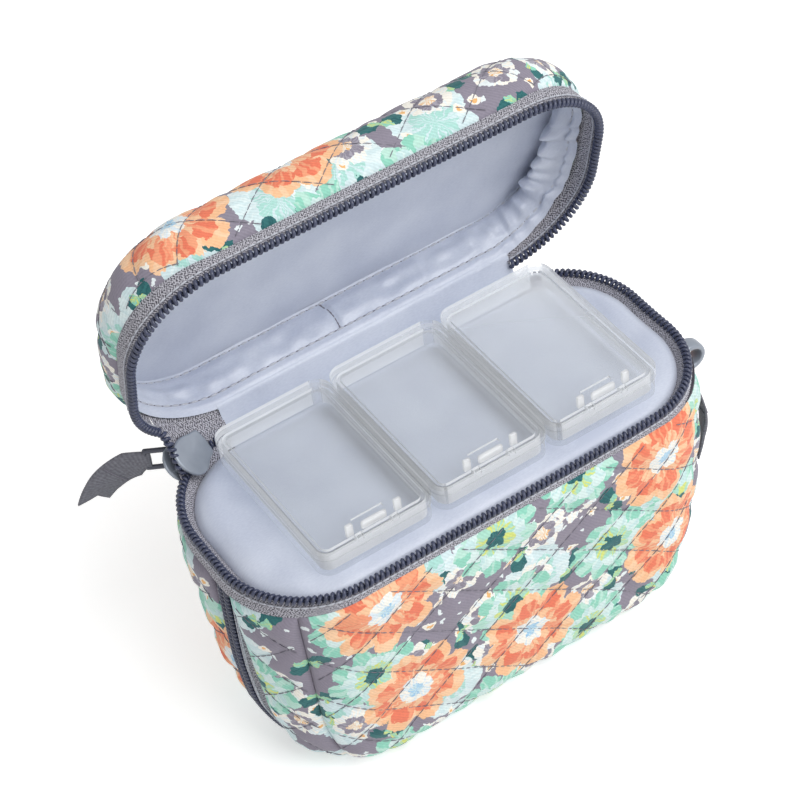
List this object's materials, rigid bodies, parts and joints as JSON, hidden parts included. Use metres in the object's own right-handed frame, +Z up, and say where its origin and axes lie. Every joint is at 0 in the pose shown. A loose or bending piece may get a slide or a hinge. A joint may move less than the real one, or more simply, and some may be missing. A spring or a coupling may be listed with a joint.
{
  "type": "travel pill organizer",
  "caption": "Quilted travel pill organizer: a zipped lid over a padded platform with clear hinged pill boxes, above a lower zipped compartment.",
  "frame": {"origin": "middle of the base, on the plane that the case stands on", "axes": "+X along the case to its right end, -Y out of its front, +Z up"},
  "size_m": [0.1619, 0.0887, 0.1511],
  "materials": {
    "quilted_cotton": "printed woven cotton, quilted",
    "lining_satin": "satin",
    "zip_tape": "woven",
    "zip_coil": "nylon coil",
    "stiff_board": "matte",
    "slider_metal": "satin enamel",
    "ring_metal": "dark enamel",
    "pull_ribbon": "woven ribbon",
    "clear_plastic": "milky clear"
  },
  "bodies": {
    "case": {"back_panel": "quilted_cotton", "back_gusset_left": "quilted_cotton", "back_gusset_right": "quilted_cotton", "back_base": "quilted_cotton", "back_lining": "lining_satin", "rim_tape": "zip_tape", "rim_coil": "zip_coil", "divider_board": "stiff_board", "divider_lining": "lining_satin", "hinge_strip": "quilted_cotton", "hinge_lining": "lining_satin", "low_zip_tape_back": "zip_tape", "low_zip_coil_back": "zip_coil"},
    "front_flap": {"front_panel": "quilted_cotton", "front_gusset_left": "quilted_cotton", "front_gusset_right": "quilted_cotton", "front_base": "quilted_cotton", "front_lining": "lining_satin", "low_zip_tape_front": "zip_tape", "low_zip_coil_front": "zip_coil"},
    "lid": {"lid_shell": "quilted_cotton", "lid_ceiling": "lining_satin", "lid_wall_lining": "lining_satin", "lid_tape": "zip_tape", "lid_coil": "zip_coil"},
    "main_slider_body": {"main_slider": "slider_metal"},
    "main_pull": {"main_pull_ring": "ring_metal", "main_pull_tab": "pull_ribbon"},
    "low_slider_body": {"low_slider": "slider_metal"},
    "low_pull": {"low_pull_ring": "ring_metal", "low_pull_tab": "pull_ribbon"},
    "box_left": {"box_tray_left": "clear_plastic"},
    "box_cover_left": {"box_lid_left": "clear_plastic"},
    "box_middle": {"box_tray_middle": "clear_plastic"},
    "box_cover_middle": {"box_lid_middle": "clear_plastic"},
    "box_right": {"box_tray_right": "clear_plastic"},
    "box_cover_right": {"box_lid_right": "clear_plastic"}
  },
  "joints": [
    {"name": "lid_hinge", "type": "hinge", "parent": "case", "child": "lid", "pos_m": [0, 0.0343, 0.0824], "axis": [-1, 0, 0], "range_deg": [-75, 65], "deforming": ["hinge_strip", "hinge_lining"]},
    {"name": "flap_hinge", "type": "hinge", "parent": "case", "child": "front_flap", "pos_m": [0, -0.0349, 0.076], "axis": [-1, 0, 0], "range_deg": [0, 60]},
    {"name": "main_slider_run", "type": "hinge", "parent": "case", "child": "main_slider_body", "pos_m": [-0.044, 0.00675, 0.0807], "axis": [0, 0, 1], "range_deg": [0, 40]},
    {"name": "main_pull_swing", "type": "hinge", "parent": "main_slider_body", "child": "main_pull", "pos_m": [-0.05995, 0.03228, 0.0807], "axis": [0, 0, 1], "range_deg": [-40, 45]},
    {"name": "low_slider_run", "type": "slide", "parent": "case", "child": "low_slider_body", "axis": [-0.0845, 0, -0.9964], "range_m": [0, 0.024]},
    {"name": "low_pull_swing", "type": "hinge", "parent": "low_slider_body", "child": "low_pull", "pos_m": [0.0733, -0.0052, 0.0618], "axis": [0, -1, 0], "range_deg": [0, 150]},
    {"name": "box_lift_left", "type": "slide", "parent": "case", "child": "box_left", "axis": [0, 0, 1], "range_m": [0, 0.04]},
    {"name": "box_cover_hinge_left", "type": "hinge", "parent": "box_left", "child": "box_cover_left", "pos_m": [-0.0347, -0.0248, 0.0864], "axis": [1, 0, 0], "range_deg": [0, 110]},
    {"name": "box_lift_middle", "type": "slide", "parent": "case", "child": "box_middle", "axis": [0, 0, 1], "range_m": [0, 0.04]},
    {"name": "box_cover_hinge_middle", "type": "hinge", "parent": "box_middle", "child": "box_cover_middle", "pos_m": [0, -0.0248, 0.0864], "axis": [1, 0, 0], "range_deg": [0, 110]},
    {"name": "box_lift_right", "type": "slide", "parent": "case", "child": "box_right", "axis": [0, 0, 1], "range_m": [0, 0.04]},
    {"name": "box_cover_hinge_right", "type": "hinge", "parent": "box_right", "child": "box_cover_right", "pos_m": [0.0347, -0.0248, 0.0864], "axis": [1, 0, 0], "range_deg": [0, 110]}
  ]
}
